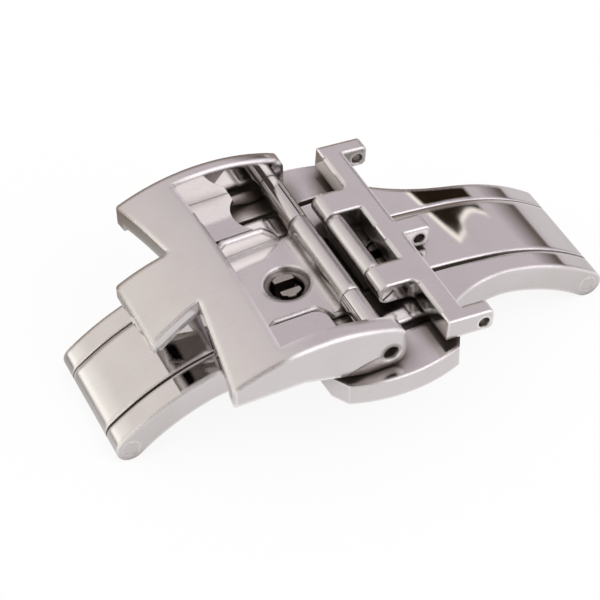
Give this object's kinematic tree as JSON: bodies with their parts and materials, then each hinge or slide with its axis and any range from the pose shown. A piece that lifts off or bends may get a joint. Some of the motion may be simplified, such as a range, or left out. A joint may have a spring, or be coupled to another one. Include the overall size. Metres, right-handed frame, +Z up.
{
  "type": "deployant clasp",
  "caption": "Arched folding clasp for a watch strap with two hinged leaves, side push buttons, a hinged notched cover and a hinged strap frame.",
  "frame": {"origin": "on the resting plane, midway between the two end hinges and midway across the strap", "axes": "+X along the clasp towards the strap frame, +Y across the strap away from the near button, +Z up away from the wrist"},
  "size_m": [0.038, 0.0228, 0.0109],
  "materials": {
    "polished_frame": "mirror polished",
    "polished_cover": "mirror polished, edges bevelled",
    "polished_leaf": "polished",
    "polished_button": "mirror polished",
    "satin_plate": "fine satin",
    "brushed_cover": "long brushed grain",
    "tube_steel": "polished, turned",
    "pin_steel": "ground",
    "screw_steel": "turned, slot cut",
    "slide_steel": "stamped, satin",
    "spring_steel": "drawn wire"
  },
  "bodies": {
    "frame": {"base_frame": "polished_frame", "latch_cover": "brushed_cover", "latch_cover_screws": "screw_steel", "left_end_pin": "pin_steel", "right_end_pin": "pin_steel", "near_button_spring": "spring_steel", "far_button_spring": "spring_steel"},
    "left_leaf": {"left_leaf": "polished_leaf"},
    "right_leaf": {"right_leaf": "polished_leaf"},
    "cover": {"notched_cover": "polished_cover", "strap_plate": "satin_plate", "cover_pin": "pin_steel", "cover_sleeve_near": "tube_steel", "cover_sleeve_far": "tube_steel"},
    "strap_frame": {"strap_frame": "polished_frame", "strap_frame_pin": "screw_steel"},
    "near_push": {"near_button": "polished_button", "near_catch_slide": "slide_steel", "near_button_rivets": "pin_steel"},
    "far_push": {"far_button": "polished_button", "far_catch_slide": "slide_steel", "far_button_rivets": "pin_steel"}
  },
  "joints": [
    {"name": "left_leaf_hinge", "type": "hinge", "parent": "frame", "child": "left_leaf", "pos_m": [-0.01795, 0, 0.00105], "axis": [0, -1, 0], "range_deg": [0, 150]},
    {"name": "right_leaf_hinge", "type": "hinge", "parent": "frame", "child": "right_leaf", "pos_m": [0.01795, 0, 0.00105], "axis": [0, 1, 0], "range_deg": [0, 150]},
    {"name": "cover_hinge", "type": "hinge", "parent": "left_leaf", "child": "cover", "pos_m": [-0.00082, 0, 0.00714], "axis": [0, 1, 0], "range_deg": [0, 90]},
    {"name": "strap_frame_hinge", "type": "hinge", "parent": "right_leaf", "child": "strap_frame", "pos_m": [0.00147, 0, 0.00729], "axis": [0, -1, 0], "range_deg": [0, 95]},
    {"name": "near_button_push", "type": "slide", "parent": "frame", "child": "near_push", "axis": [0, 1, 0], "range_m": [0, 0.0004], "stiffness_N_per_m": 400, "springref_m": -0.001, "deforming": ["near_button_spring"]},
    {"name": "far_button_push", "type": "slide", "parent": "frame", "child": "far_push", "axis": [0, -1, 0], "range_m": [0, 0.0004], "stiffness_N_per_m": 400, "springref_m": -0.001, "deforming": ["far_button_spring"]}
  ]
}
